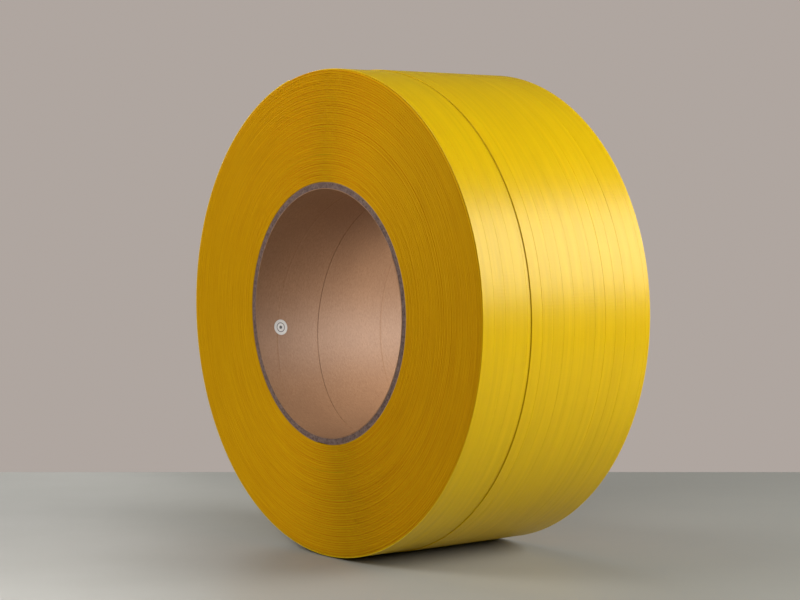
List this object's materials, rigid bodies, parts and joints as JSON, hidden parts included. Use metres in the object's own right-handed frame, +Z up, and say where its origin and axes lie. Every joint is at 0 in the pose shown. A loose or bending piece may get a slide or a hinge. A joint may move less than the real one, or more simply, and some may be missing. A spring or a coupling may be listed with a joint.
{
  "type": "coil of plastic strapping",
  "caption": "Coil of flat yellow plastic strapping wound sideways in layers on a wide paper core, standing on its rim, with a free end that lifts.",
  "frame": {"origin": "centre of the coil, on the core's axis halfway across its width", "axes": "+Y along the core's axis, from the front face, which has a bare strip of the full layer beside it, to the back face; +Z up as the coil stands on its rim; +X to the right, seen from the front"},
  "size_m": [0.448, 0.195, 0.448],
  "materials": {
    "strap": "silky, drawn along its length, finely embossed",
    "strap_edges": "stacked strap edges, satin",
    "kraft_liner": "matt kraft paper",
    "kraft_wrap": "matt kraft paper",
    "chipboard": "mottled grey chipboard",
    "sticker": "coated white paper",
    "tape": "cream crepe paper tape, satin"
  },
  "bodies": {
    "coil": {"core_liner": "kraft_liner", "core_ply_1": "chipboard", "core_ply_2": "chipboard", "core_ply_3": "chipboard", "core_ply_4": "chipboard", "core_ply_5": "chipboard", "core_ply_6": "chipboard", "core_wrap": "kraft_wrap", "core_sticker": "sticker", "strap_start": "strap", "start_tape": "tape", "strap_wound": "strap_edges", "strap_outer_layer": "strap", "strap_last_layer": "strap"},
    "tail": {"strap_tail": "strap", "tail_tape": "tape"}
  },
  "joints": [
    {"name": "tail_lift", "type": "hinge", "parent": "coil", "child": "tail", "pos_m": [-0.09133, -0.0415, 0.20463], "axis": [0, 1, 0], "range_deg": [0, 75], "stiffness_Nm_per_rad": 0.04}
  ]
}
